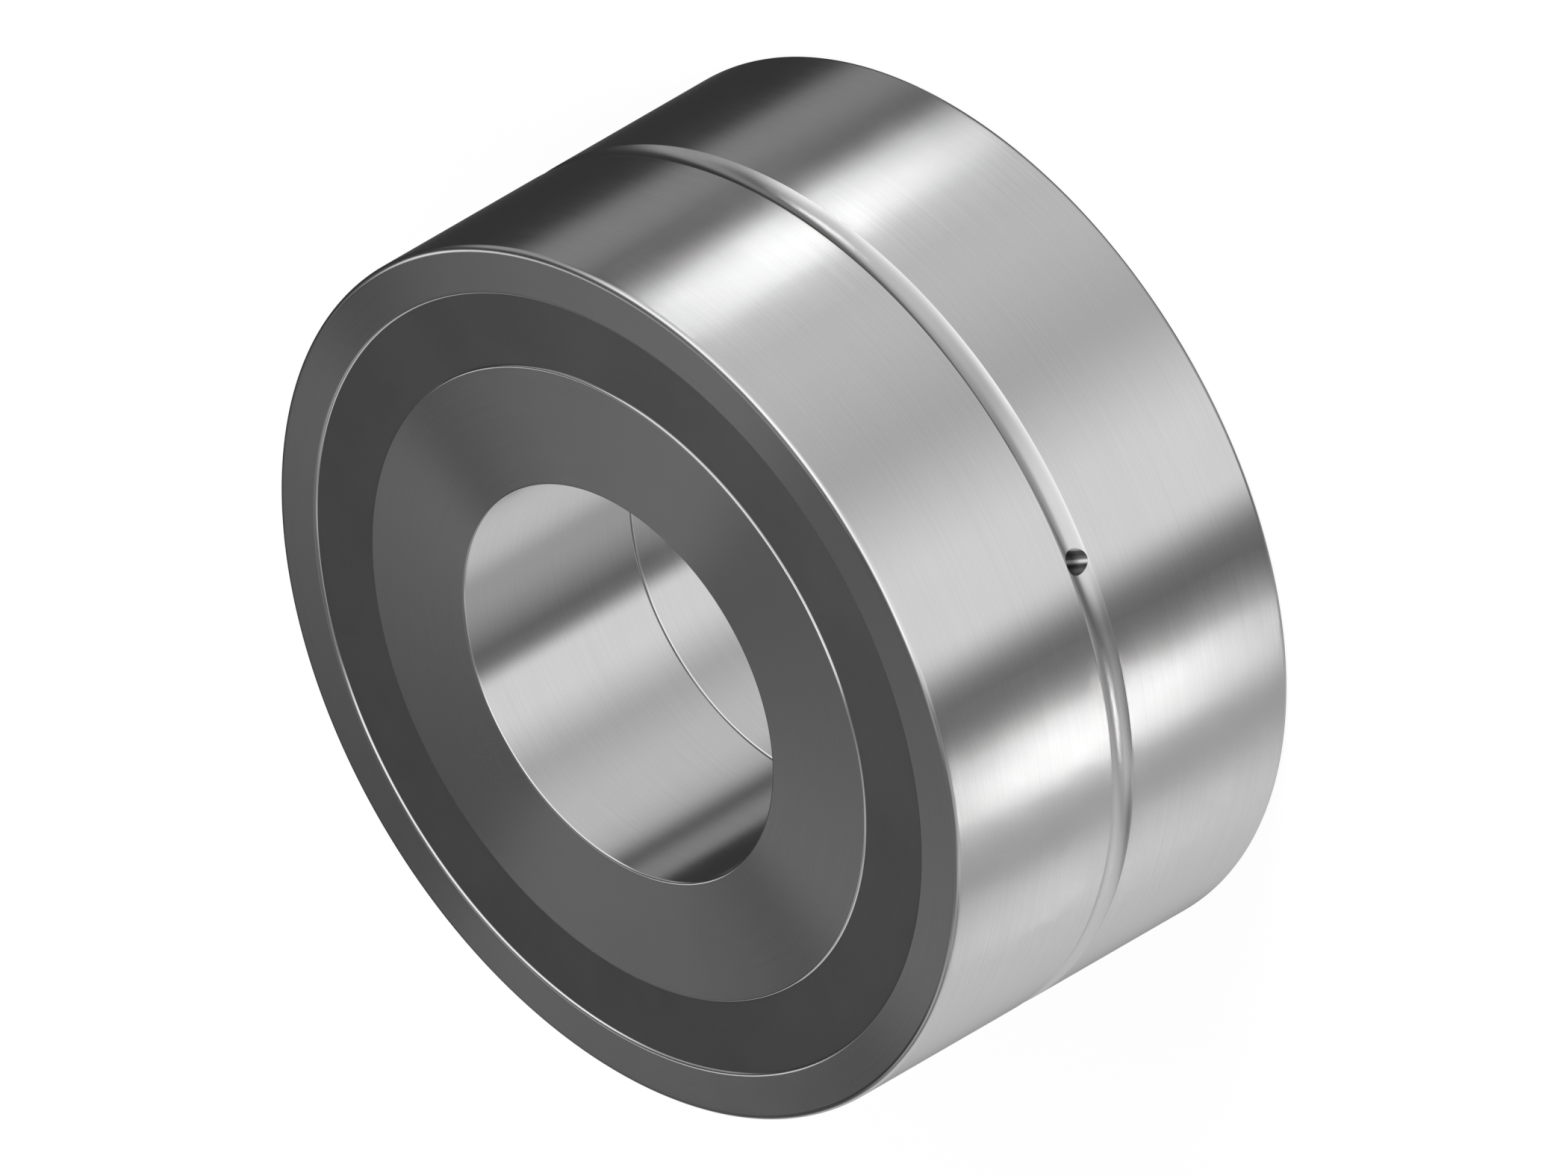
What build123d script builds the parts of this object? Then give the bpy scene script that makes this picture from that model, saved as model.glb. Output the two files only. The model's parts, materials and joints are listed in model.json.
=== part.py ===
from build123d import *
import math
import os

# Double direction angular contact thrust ball bearing, sealed on both sides.
# All sizes are in millimetres and degrees. The axis is +Z, the rear face lies on z = 0
# and the front face is up. Sections are drawn as (radius, height above the mid-plane).

# Boundary dimensions
bore_diameter = 50.0
outer_diameter = 110.0
bearing_width = 54.0

# Widths seen on each end face, from the rim inwards
outer_face_width = 6.0
seal_face_width = 9.0

# Rounded edges of the rings
rim_fillet = 0.8
seat_fillet = 0.4
land_fillet = 0.25
bore_fillet = 0.3
joint_fillet = 0.3
shoulder_fillet = 0.3
relief_fillet = 0.5

# Ball rows
ball_diameter = 11.906
contact_angle = 60.0
raceway_conformity = 0.52
ball_play = 0.01
shoulder_inset = 1.0
rib_tip_width = 10.0
raceway_start_angle = 25.0

# Window cages, one conical band for each row
cage_thickness = 2.8
cage_rim = 1.4
least_cage_web = 1.4
cage_fillet = 0.4
pocket_clearance = 0.12
cage_clearance = 0.25

# Seals, each moulded on a pressed steel stiffener
seal_recess = 0.3
seal_thickness = 4.0
lip_width = 0.7
lip_height = 1.0
lip_clearance = 0.05
rubber_cover = 0.8
stiffener_sheet = 0.8
stiffener_bend = 0.2

# Lubrication groove round the outside, and the grease holes that open in it
groove_width = 3.4
groove_depth = 0.5
groove_edge_fillet = 0.1
grease_hole_diameter = 3.2
grease_hole_count = 3
first_grease_hole_azimuth = -60.0

# Radii of the rings
outer_radius = outer_diameter / 2
bore_radius = bore_diameter / 2
seat_radius = outer_radius - outer_face_width
land_radius = seat_radius - seal_face_width
half_width = bearing_width / 2

# Ball row geometry. The contact line leans from the rib, outside and inboard of the ball,
# to the inner ring's shoulder, inside and outboard of it.
ball_radius = ball_diameter / 2
pitch_radius = land_radius + shoulder_inset
rib_radius = pitch_radius + shoulder_inset
raceway_radius = raceway_conformity * ball_diameter
cos_contact = math.cos(math.radians(contact_angle))
sin_contact = math.sin(math.radians(contact_angle))
raceway_shift = raceway_radius - ball_radius - ball_play
shoulder_rise = math.sqrt(raceway_radius**2 - (shoulder_inset + raceway_shift * cos_contact) ** 2)
row_height = rib_tip_width / 2 + shoulder_rise - raceway_shift * sin_contact
raceway_start_rise = raceway_radius * math.sin(math.radians(raceway_start_angle))

# Cage geometry. The band lies across the contact line, through the ball centres.
pocket_radius = ball_radius + pocket_clearance
cage_half_length = pocket_radius + cage_rim
cage_half_thickness = cage_thickness / 2
cage_reach = cage_half_length * sin_contact + cage_half_thickness * cos_contact
room_radius = pitch_radius + cage_reach + cage_clearance
sleeve_radius = pitch_radius - cage_reach - cage_clearance
least_pitch = (2 * pocket_radius + least_cage_web) / (2 * pitch_radius)
balls_per_row = math.floor(math.pi / math.asin(least_pitch))

# Seal geometry
seal_face_height = half_width - seal_recess
seal_back_height = seal_face_height - seal_thickness
lip_radius = land_radius + lip_clearance
waist_radius = lip_radius + lip_height


def polygon(points):
    """A flat face with the given corners, as (radius, height)."""
    return make_face(Polyline(*points, close=True))


def rounded(section, corner, radius):
    """The section with the corner nearest to the given point rounded."""
    nearest = section.vertices().sort_by_distance(Vector(*corner))[0]
    return fillet(nearest, radius)


def turned(section):
    """The solid of revolution of a section about the bearing's axis."""
    return revolve(Plane.XZ * section, Axis.Z)


def raceway_circle(side):
    """The raceway's circle in the section: side is 1 for the inner ring, -1 for the outer."""
    centre_radius = pitch_radius + side * raceway_shift * cos_contact
    centre_height = row_height - side * raceway_shift * sin_contact
    return Pos(centre_radius, centre_height) * Circle(raceway_radius)


def raceway_start_height(side):
    """Height of the flat relief beside the raceway's deepest part."""
    centre_height = row_height - side * raceway_shift * sin_contact
    return centre_height + side * raceway_start_rise


def outer_ring_upper_section():
    """Half of the outer ring's section, from the mid-plane to the front face."""
    relief = raceway_start_height(-1)
    corners = [
        (rib_radius, 0),
        (outer_radius, 0),
        (outer_radius, half_width),
        (seat_radius, half_width),
        (seat_radius, seal_back_height),
        (room_radius, seal_back_height),
        (room_radius, relief),
        (rib_radius, relief),
    ]
    section = polygon(corners) - raceway_circle(-1)
    section = rounded(section, (outer_radius, half_width), rim_fillet)
    section = rounded(section, (seat_radius, half_width), seat_fillet)
    section = rounded(section, (room_radius, relief), relief_fillet)
    section = rounded(section, (rib_radius, rib_tip_width / 2), shoulder_fillet)
    return section


def lubrication_groove_circle():
    """The circle whose arc cuts the groove into the outside."""
    arc_radius = (groove_width**2 / 4 + groove_depth**2) / (2 * groove_depth)
    return Pos(outer_radius + arc_radius - groove_depth, 0) * Circle(arc_radius)


def grease_hole(azimuth):
    """A radial hole from the groove through the rib."""
    length = outer_radius - rib_radius + 2 * groove_width
    middle_radius = (outer_radius + rib_radius) / 2
    drill = Rot(0, 90, 0) * Cylinder(grease_hole_diameter / 2, length)
    return Rot(0, 0, azimuth) * Pos(middle_radius, 0, 0) * drill


def outer_ring():
    """The outer ring with both raceways, the groove and its grease holes."""
    upper = outer_ring_upper_section()
    section = upper + mirror(upper, about=Plane.XZ)
    section = section - lubrication_groove_circle()
    section = rounded(section, (outer_radius, groove_width / 2), groove_edge_fillet)
    section = rounded(section, (outer_radius, -groove_width / 2), groove_edge_fillet)
    ring = turned(section)
    for number in range(grease_hole_count):
        azimuth = first_grease_hole_azimuth + number * 360 / grease_hole_count
        ring = ring - grease_hole(azimuth)
    return ring


def inner_ring():
    """The front half of the inner ring, from the mid-plane to the front face."""
    relief = raceway_start_height(1)
    shoulder_height = row_height - raceway_shift * sin_contact + shoulder_rise
    corners = [
        (bore_radius, 0),
        (bore_radius, half_width),
        (land_radius, half_width),
        (land_radius, relief),
        (sleeve_radius, relief),
        (sleeve_radius, 0),
    ]
    section = polygon(corners) - raceway_circle(1)
    section = rounded(section, (bore_radius, half_width), bore_fillet)
    section = rounded(section, (land_radius, half_width), land_fillet)
    section = rounded(section, (bore_radius, 0), joint_fillet)
    section = rounded(section, (sleeve_radius, 0), joint_fillet)
    section = rounded(section, (sleeve_radius, relief), relief_fillet)
    section = rounded(section, (land_radius, shoulder_height), shoulder_fillet)
    return turned(section)


def ball_centre(azimuth):
    """Where the ball at the given azimuth sits in the front row."""
    return Rot(0, 0, azimuth) * Pos(pitch_radius, 0, row_height)


def cage():
    """The front cage: a conical band with a round pocket for each ball."""
    band = Rectangle(cage_thickness, 2 * cage_half_length)
    band = fillet(band.vertices(), cage_fillet)
    section = Pos(pitch_radius, row_height) * Rot(0, 0, -contact_angle) * band
    body = turned(section)
    pocket = Rot(0, 90 + contact_angle, 0) * Cylinder(pocket_radius, 2 * cage_thickness)
    for number in range(balls_per_row):
        body = body - ball_centre(number * 360 / balls_per_row) * pocket
    return body


def stiffener_section():
    """The pressed steel stiffener: a flat plate with a flange at its rim."""
    inner = waist_radius + rubber_cover
    outer = seat_radius - rubber_cover
    front = seal_face_height - rubber_cover
    back = front - stiffener_sheet
    corners = [
        (inner, back),
        (inner, front),
        (outer, front),
        (outer, seal_back_height),
        (outer - stiffener_sheet, seal_back_height),
        (outer - stiffener_sheet, back),
    ]
    section = polygon(corners)
    section = rounded(section, (outer - stiffener_sheet, back), stiffener_bend)
    return rounded(section, (outer, front), stiffener_bend + stiffener_sheet)


def seal():
    """The front seal's rubber, with a lip at each side of its inner edge."""
    corners = [
        (seat_radius, seal_back_height),
        (seat_radius, seal_face_height),
        (lip_radius, seal_face_height),
        (lip_radius, seal_face_height - lip_width),
        (waist_radius, seal_face_height - 2 * lip_width),
        (waist_radius, seal_back_height + 2 * lip_width),
        (lip_radius, seal_back_height + lip_width),
        (lip_radius, seal_back_height),
    ]
    return turned(polygon(corners) - stiffener_section())


def write_part(name, solid):
    """One STEP file for one node, lifted so that the rear face lies on z = 0."""
    export_step(Pos(0, 0, half_width) * solid, f"parts/{name}.step")


def write_pair(name, front_solid, suffix=""):
    """The front piece and its mirror image at the rear."""
    write_part(f"{name}_front{suffix}", front_solid)
    write_part(f"{name}_rear{suffix}", mirror(front_solid, about=Plane.XY))


os.makedirs("parts", exist_ok=True)
write_part("outer_ring", outer_ring())
write_pair("inner_ring", inner_ring())
write_pair("cage", cage())
write_pair("seal", seal())
write_pair("seal_stiffener", turned(stiffener_section()))
for number in range(balls_per_row):
    ball = ball_centre(number * 360 / balls_per_row) * Sphere(ball_radius)
    write_pair("ball", ball, f"_{number + 1:02d}")
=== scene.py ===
import json
import math

import bpy
import numpy as np
from mathutils import Matrix, Vector


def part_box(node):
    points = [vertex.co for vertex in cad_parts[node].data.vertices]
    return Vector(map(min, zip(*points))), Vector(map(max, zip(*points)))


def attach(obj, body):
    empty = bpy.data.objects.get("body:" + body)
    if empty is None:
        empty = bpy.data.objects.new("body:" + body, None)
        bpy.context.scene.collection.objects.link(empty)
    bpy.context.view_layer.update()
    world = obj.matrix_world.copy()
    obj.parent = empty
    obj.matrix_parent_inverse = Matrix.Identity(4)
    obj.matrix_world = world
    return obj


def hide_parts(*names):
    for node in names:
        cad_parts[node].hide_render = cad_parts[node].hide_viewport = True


bl_info = {
    "name": "Sealed thrust bearing",
    "version": (1, 0, 0),
    "blender": (4, 5, 0),
    "location": "3D View > Sidebar > Bearing",
    "description": "Turned rings, moulded seals and finishes for a double direction thrust ball bearing",
    "category": "Object",
}

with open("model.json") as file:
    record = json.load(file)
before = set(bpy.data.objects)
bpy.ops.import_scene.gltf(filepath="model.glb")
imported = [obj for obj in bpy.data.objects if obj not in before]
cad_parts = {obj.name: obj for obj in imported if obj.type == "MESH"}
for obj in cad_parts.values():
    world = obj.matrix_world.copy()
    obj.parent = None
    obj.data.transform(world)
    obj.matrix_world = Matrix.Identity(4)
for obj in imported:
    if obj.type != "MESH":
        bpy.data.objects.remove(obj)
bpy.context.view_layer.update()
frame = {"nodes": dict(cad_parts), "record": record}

# Sizes read from the frame, in metres
ring_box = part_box("outer_ring")
inner_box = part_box("inner_ring_front")
seal_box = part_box("seal_front")
ball_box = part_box("ball_front_01")
mounts = {mount["name"]: mount for mount in frame["record"]["mounts"]}
MIDDLE = (ring_box[0].z + ring_box[1].z) / 2
BORE_RADIUS = mounts["bore"]["dims"]["r_mm"] / 1000
ROW_HEIGHT = (ball_box[0].z + ball_box[1].z) / 2 - MIDDLE

# The elevation of an isometric view in degrees, the CAD nodes that keep their meshes, and the grease holes
ISOMETRIC = math.degrees(math.atan(math.sqrt(0.5)))
BALL_NODES = sorted(name for name in frame["nodes"] if name.startswith("ball_"))
CAGE_NODES = ("cage_front", "cage_rear")
STIFFENER_NODES = ("seal_stiffener_front", "seal_stiffener_rear")
HOLE_COUNT = 3

# Fineness of the meshes: columns round the axis, and steps along the stretches of a section and along the
# walls of the grease holes
RING_COLUMNS = 480
HOLE_ROWS = 10
EDGE_STEPS = 8
FILLET_STEPS = 8
INNER_STEPS = 4
RACEWAY_STEPS = 14
WALL_STEPS = 6

# Half angle of the patch of columns that opens round a grease hole, and the angle within which a column
# counts as on the hole's own azimuth. Corners are rounded to whole steps of JOINING metres to be joined.
PATCH_ANGLE = math.radians(5)
TINY_ANGLE = 1e-6
JOINING = 1e-9

# Finishes: the range that holds most of a noise texture's values, and the depths below the outside between
# which painted shade darkens the grease holes' walls, in metres
NOISE_RANGE = (0.3, 0.7)
UNSHADED_DEPTH = 0.0010
SHADED_DEPTH = 0.0032

# The direction in which a face throws the camera's line of sight, and the directions beside it and below it
# that are square to it
MIRRORED_WAY = Vector((-1, 1, 1)).normalized()
BESIDE_WAY = Vector((1, 1, 0)).normalized()
BELOW_WAY = MIRRORED_WAY.cross(BESIDE_WAY)

# The even light on matt surfaces, and the floor: its sides, its shade, its roughness and how many faint
# patches it has to the metre
MATT_LIGHT = 0.65
FLOOR_SIDES = 96
FLOOR_SHADE = 0.12
FLOOR_ROUGHNESS = 0.9
FLOOR_PATCHES = 3.0

# Softboxes: their height over their width, how far in front of the groove their light falls, how far they
# lean, and the turn from the left one to the far left one
SOFTBOX_SHAPE = 0.4
SOFTBOX_HEIGHT = 0.005
SOFTBOX_LEAN = math.radians(7)
FAR_LEFT_TURN = math.radians(-42)

# The four oval lamps in one another that make a softbox: name, width as a share of the softbox's width and
# energy in watts at strength 1. Then the strength of each softbox.
SOFTBOX_PARTS = (
    ("middle", 0.88, 0.0032),
    ("inner", 1.2, 0.0032),
    ("outer", 1.6, 0.0023),
    ("rim", 2.15, 0.0023),
)
RIGHT_STRENGTH = 0.95
LEFT_STRENGTH = 1.2
FAR_LEFT_STRENGTH = 0.155

# The lamp over the front face, and the one behind it: azimuth, distance from the axis, distance beyond the
# face (upwards, and along the mirrored way), energy in watts and width in metres
OVERHEAD_AZIMUTH, OVERHEAD_OUT, OVERHEAD_UP = math.radians(-30), 0.12, 0.12
OVERHEAD_ENERGY, OVERHEAD_WIDTH = 0.14, 0.05
BEHIND_AZIMUTH, BEHIND_OUT, BEHIND_AWAY = math.radians(-45), 0.1, 0.4
BEHIND_ENERGY, BEHIND_WIDTH = 0.005, 0.17


def length(name, description, default):
    """A length that a user may change, in metres."""
    return bpy.props.FloatProperty(name=name, description=description, default=default, min=0, unit="LENGTH")


def angle(name, description, degrees):
    """An angle that a user may change, given in degrees."""
    return bpy.props.FloatProperty(
        name=name, description=description, default=math.radians(degrees), subtype="ANGLE"
    )


def colour(name, description, red, green, blue):
    """A colour that a user may change."""
    return bpy.props.FloatVectorProperty(
        name=name,
        description=description,
        subtype="COLOR",
        size=4,
        min=0,
        max=1,
        default=(red, green, blue, 1),
    )


class BearingSizes(bpy.types.PropertyGroup):
    """Sizes of the rings and seals, from the frame where it holds them"""

    outer_radius: length("Outer radius", "Radius of the ground outside", ring_box[1].x)
    half_width: length("Half width", "From the mid-plane to either face", (ring_box[1].z - ring_box[0].z) / 2)
    bore_radius: length("Bore radius", "Radius of the bore through both inner rings", BORE_RADIUS)
    seat_radius: length("Seat radius", "Radius of the recess that holds the seal", seal_box[1].x)
    land_radius: length("Land radius", "Radius of the inner ring's land under the seal", inner_box[1].x)
    seal_face: length("Seal face", "Height of the seal's face above the mid-plane", seal_box[1].z - MIDDLE)
    seal_back: length("Seal back", "From the mid-plane to the ledge behind the seal", seal_box[0].z - MIDDLE)
    row_height: length("Row height", "Height of the front ball centres above the mid-plane", ROW_HEIGHT)
    shoulder_inset: length("Shoulder inset", "From the land and the rib to the circle of ball centres", 0.001)
    ball_radius: length("Ball radius", "Radius of each ball", 0.005953)
    ball_play: length("Ball play", "Running gap at each contact of a ball", 0.00001)
    raceway_conformity: bpy.props.FloatProperty(
        name="Raceway conformity",
        description="Raceway radius as a share of the ball's diameter",
        default=0.52,
    )
    contact_angle: angle("Contact angle", "Between the contact line and the mid-plane", 60)
    relief_angle: angle("Relief angle", "Where each raceway meets its relief, from the radial line", 25)
    cage_half_length: length("Cage half length", "From the ball centres to the cage's rim", 0.007473)
    cage_half_thickness: length("Cage half thickness", "Half of the cage band's thickness", 0.0014)
    cage_clearance: length("Cage clearance", "Running room round the cage", 0.00025)
    groove_width: length("Groove width", "Width of the groove before its edges are rounded", 0.0034)
    groove_depth: length("Groove depth", "Depth of the lubrication groove", 0.0005)
    hole_radius: length("Grease hole radius", "Radius of the radial holes in the groove", 0.0016)
    hole_azimuth: angle("First grease hole", "Azimuth of the first grease hole", -60)
    rim_fillet: length("Rim fillet", "Rounding between the outside and the faces", 0.0008)
    seat_fillet: length("Seat fillet", "Rounding of the outer ring's edge round the seal", 0.0004)
    land_fillet: length("Land fillet", "Rounding of the inner ring's edge inside the seal", 0.00025)
    bore_fillet: length("Bore fillet", "Rounding of the bore's outer edges", 0.0003)
    joint_fillet: length("Joint fillet", "Rounding of the inner rings' edges where they meet", 0.0003)
    groove_fillet: length("Groove fillet", "Rounding of the lubrication groove's edges", 0.0001)
    shoulder_fillet: length("Shoulder fillet", "Rounding between each raceway and its shoulder", 0.0003)
    relief_fillet: length("Relief fillet", "Rounding in the corner of each raceway's relief", 0.0005)
    lip_clearance: length("Lip clearance", "Gap under each lip of the seal", 0.00005)
    lip_height: length("Lip height", "How far the lips stand out from the seal's waist", 0.001)
    lip_width: length("Lip width", "Width of each lip at its tip and of its slope", 0.0007)
    rubber_cover: length("Rubber cover", "Rubber over the stiffener", 0.0008)
    stiffener_sheet: length("Stiffener sheet", "Thickness of the stiffener's sheet steel", 0.0008)
    stiffener_bend: length("Stiffener bend", "Inner radius of the stiffener's bend", 0.0002)


class BearingFinishes(bpy.types.PropertyGroup):
    """Colours of the bearing's materials"""

    steel: colour("Ring steel", "Colour of the ground ring steel", 0.70, 0.70, 0.70)
    balls: colour("Ball steel", "Colour of the polished balls", 0.74, 0.74, 0.75)
    plate: colour("Stiffener steel", "Colour of the seals' sheet steel", 0.50, 0.50, 0.50)
    rubber: colour("Seal rubber", "Colour of the seals", 0.052, 0.052, 0.053)
    polyamide: colour("Cage polyamide", "Colour of the moulded cages", 0.50, 0.42, 0.28)


class BearingStage(bpy.types.PropertyGroup):
    """The camera, the floor and the softboxes"""

    camera_azimuth: angle("Camera azimuth", "Azimuth of the camera as seen from the bearing", -45)
    camera_elevation: angle("Camera elevation", "Height of the camera, that of an isometric view", ISOMETRIC)
    camera_roll: angle("Camera roll", "Turn about the line of sight, which lays the axis across", -120)
    camera_distance: length("Camera distance", "From the middle of the bearing to the camera", 1.0)
    view_width: length("View width", "Width of the camera's view at the bearing", 0.17992)
    floor_radius: length("Floor radius", "Radius of the pale floor under the bearing", 2.0)
    right_softbox: angle("Right softbox", "Azimuth from the outside to the right softbox", 32)
    left_softbox: angle("Left softbox", "Azimuth from the outside to the left softbox", -115)
    softbox_distance: length("Softbox distance", "From the outside to each softbox", 0.2)
    softbox_width: length("Softbox width", "Width of each softbox where half of its light is left", 0.07)


def line(start, end):
    """A straight stretch of a section: two points, and the normal to the right of the way between them."""
    points = np.array([start, end], float)
    way = points[1] - points[0]
    normal = np.array([way[1], -way[0]]) / np.hypot(*way)
    return points, np.array([normal, normal])


def arc(centre, radius, start, end, steps):
    """A round stretch of a section: centre + radius (cos a, sin a) for angles a from start to end, equally
    spaced. The normal is to the right of the way along it, so it points outwards where the angle grows."""
    angles = np.linspace(start, end, steps + 1)
    around = np.column_stack((np.cos(angles), np.sin(angles)))
    return np.array(centre) + radius * around, around * np.sign(end - start)


def stretch_up(radius, heights):
    """A straight stretch along the axis at one radius, with a point at each given height. The normal is to
    the right of the way: away from the axis where the heights grow, and towards it where they fall."""
    points = np.column_stack((np.full(len(heights), radius), heights))
    outwards = np.sign(heights[-1] - heights[0])
    return points, np.tile([outwards, 0.0], (len(heights), 1))


def mirrored(strips):
    """The same stretches beyond the mid-plane: heights change sign, and the order is turned round so that
    outwards stays outwards."""
    flip = np.array([1.0, -1.0])
    return [(points[::-1] * flip, normals[::-1] * flip) for points, normals in reversed(strips)]


def beside_circle(radius, centre, circle_radius, fillet, side, towards):
    """The centre of the rounding between a circle and a straight side at the given radius from the axis. It
    lies the fillet's radius from the side and circle_radius + fillet from the circle's centre. side is 1
    where the material is further out than the straight side and -1 where it is nearer, and towards is 1
    above the circle's centre and -1 below it."""
    across = radius + side * fillet
    rise = math.sqrt((circle_radius + fillet) ** 2 - (across - centre[0]) ** 2)
    return np.array([across, centre[1] + towards * rise])


def angle_to(start, end):
    """The angle of the way from one point of the section to another."""
    return math.atan2(end[1] - start[1], end[0] - start[0])


def row_radius(sizes):
    """Radius of the circle through the ball centres."""
    return sizes.land_radius + sizes.shoulder_inset


def cage_reach(sizes):
    """How far the cage and its running room reach from the ball centres, inwards and outwards."""
    across = sizes.cage_half_length * math.sin(sizes.contact_angle)
    return across + sizes.cage_half_thickness * math.cos(sizes.contact_angle) + sizes.cage_clearance


def raceway(sizes, side):
    """Centre and radius of the front half's raceway arc: side is 1 on the inner ring, -1 on the outer."""
    radius = 2 * sizes.raceway_conformity * sizes.ball_radius
    shift = side * (radius - sizes.ball_radius - sizes.ball_play)
    across, along = shift * math.cos(sizes.contact_angle), shift * math.sin(sizes.contact_angle)
    return np.array([row_radius(sizes) + across, sizes.row_height - along]), radius


def hole_heights(sizes):
    """Heights of the rows that a grease hole cuts, hole radius times sin t for equal steps of t."""
    return sizes.hole_radius * np.sin(np.linspace(0, math.pi / 2, HOLE_ROWS + 1))


def groove_stretch(sizes):
    """Upper half of the lubrication groove and its rounded edge, as radius over height. The groove is an
    arc through its floor and both its edges, and the edge is an arc tangent to it and to the outside. The
    points stand in the grease hole's rows, and beyond them ever closer up to the edge's end."""
    half, depth, fillet = sizes.groove_width / 2, sizes.groove_depth, sizes.groove_fillet
    arc_radius = (half**2 + depth**2) / (2 * depth)
    centre = np.array([sizes.outer_radius + arc_radius - depth, 0.0])
    edge = beside_circle(sizes.outer_radius, centre, arc_radius, fillet, -1, 1)
    tangent = edge[1] * arc_radius / (arc_radius + fillet)
    rest = edge[1] - (edge[1] - sizes.hole_radius) * (1 - np.linspace(0, 1, EDGE_STEPS + 1)[1:]) ** 2
    heights = np.concatenate((hole_heights(sizes), rest))
    in_groove = heights < tangent
    floor = centre[0] - np.sqrt(np.maximum(arc_radius**2 - heights**2, 0))
    rounding = edge[0] + np.sqrt(np.maximum(fillet**2 - (heights - edge[1]) ** 2, 0))
    points = np.column_stack((np.where(in_groove, floor, rounding), heights))
    to_groove = (centre - points) / arc_radius
    from_edge = (points - edge) / fillet
    return points, np.where(in_groove[:, None], to_groove, from_edge)


def outer_ring_strips(sizes):
    """The outer ring's section above the mid-plane, from the groove's floor over the face to the rib."""
    top, seat, outside = sizes.half_width, sizes.seat_radius, sizes.outer_radius
    rim, edge = sizes.rim_fillet, sizes.seat_fillet
    small, relieved = sizes.shoulder_fillet, sizes.relief_fillet
    room, rib = row_radius(sizes) + cage_reach(sizes), row_radius(sizes) + sizes.shoulder_inset
    centre, radius = raceway(sizes, -1)
    relief = centre[1] - radius * math.sin(sizes.relief_angle)
    start = centre[0] + radius * math.cos(sizes.relief_angle)
    shoulder = beside_circle(rib, centre, radius, small, 1, -1)
    groove = groove_stretch(sizes)
    rib_rows = np.concatenate(([shoulder[1]], hole_heights(sizes)[::-1]))
    return [
        groove,
        line(groove[0][-1], (outside, top - rim)),
        arc((outside - rim, top - rim), rim, 0, math.pi / 2, FILLET_STEPS),
        line((outside - rim, top), (seat + edge, top)),
        arc((seat + edge, top - edge), edge, math.pi / 2, math.pi, FILLET_STEPS),
        line((seat, top - edge), (seat, sizes.seal_back)),
        line((seat, sizes.seal_back), (room, sizes.seal_back)),
        line((room, sizes.seal_back), (room, relief + relieved)),
        arc((room - relieved, relief + relieved), relieved, 0, -math.pi / 2, INNER_STEPS),
        line((room - relieved, relief), (start, relief)),
        arc(centre, radius, -sizes.relief_angle, angle_to(centre, shoulder), RACEWAY_STEPS),
        arc(shoulder, small, angle_to(shoulder, centre), math.pi, INNER_STEPS),
        stretch_up(rib, rib_rows),
    ]


def inner_ring_strips(sizes):
    """The front inner ring's whole section, from the joint outwards and by the raceway to the bore."""
    top, land, bore = sizes.half_width, sizes.land_radius, sizes.bore_radius
    edge, joint, rim = sizes.land_fillet, sizes.joint_fillet, sizes.bore_fillet
    small, relieved = sizes.shoulder_fillet, sizes.relief_fillet
    sleeve = row_radius(sizes) - cage_reach(sizes)
    centre, radius = raceway(sizes, 1)
    relief = centre[1] + radius * math.sin(sizes.relief_angle)
    start = centre[0] - radius * math.cos(sizes.relief_angle)
    shoulder = beside_circle(land, centre, radius, small, -1, 1)
    quarter = math.pi / 2
    return [
        line((bore + joint, 0), (sleeve - joint, 0)),
        arc((sleeve - joint, joint), joint, -quarter, 0, INNER_STEPS),
        line((sleeve, joint), (sleeve, relief - relieved)),
        arc((sleeve + relieved, relief - relieved), relieved, math.pi, quarter, INNER_STEPS),
        line((sleeve + relieved, relief), (start, relief)),
        arc(centre, radius, math.pi - sizes.relief_angle, angle_to(centre, shoulder), RACEWAY_STEPS),
        arc(shoulder, small, angle_to(shoulder, centre), 0, INNER_STEPS),
        line((land, shoulder[1]), (land, top - edge)),
        arc((land - edge, top - edge), edge, 0, quarter, FILLET_STEPS),
        line((land - edge, top), (bore + rim, top)),
        arc((bore + rim, top - rim), rim, quarter, math.pi, FILLET_STEPS),
        line((bore, top - rim), (bore, joint)),
        arc((bore + joint, joint), joint, math.pi, 3 * quarter, FILLET_STEPS),
    ]


def seal_strips(sizes):
    """The front seal's whole section: its seat, face and two lips, and the stiffener's bed, open behind."""
    face, back, seat = sizes.seal_face, sizes.seal_back, sizes.seat_radius
    lip, wedge = sizes.land_radius + sizes.lip_clearance, sizes.lip_width
    waist = lip + sizes.lip_height
    cover, sheet, bend = sizes.rubber_cover, sizes.stiffener_sheet, sizes.stiffener_bend
    rim, plate = seat - cover, face - cover
    outline = [
        (seat, back),
        (seat, face),
        (lip, face),
        (lip, face - wedge),
        (waist, face - 2 * wedge),
        (waist, back + 2 * wedge),
        (lip, back + wedge),
        (lip, back),
        (rim - sheet, back),
        (rim - sheet, plate - sheet - bend),
    ]
    bed_inside = arc((rim - sheet - bend, plate - sheet - bend), bend, 0, math.pi / 2, INNER_STEPS)
    bed_outside = arc((rim - sheet - bend, plate - sheet - bend), sheet + bend, math.pi / 2, 0, INNER_STEPS)
    inner_edge = waist + cover
    return [
        *(line(a, b) for a, b in zip(outline, outline[1:])),
        bed_inside,
        line(bed_inside[0][-1], (inner_edge, plate - sheet)),
        line((inner_edge, plate - sheet), (inner_edge, plate)),
        line((inner_edge, plate), bed_outside[0][0]),
        bed_outside,
        line(bed_outside[0][-1], (rim, back)),
        line((rim, back), (seat, back)),
    ]


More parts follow.
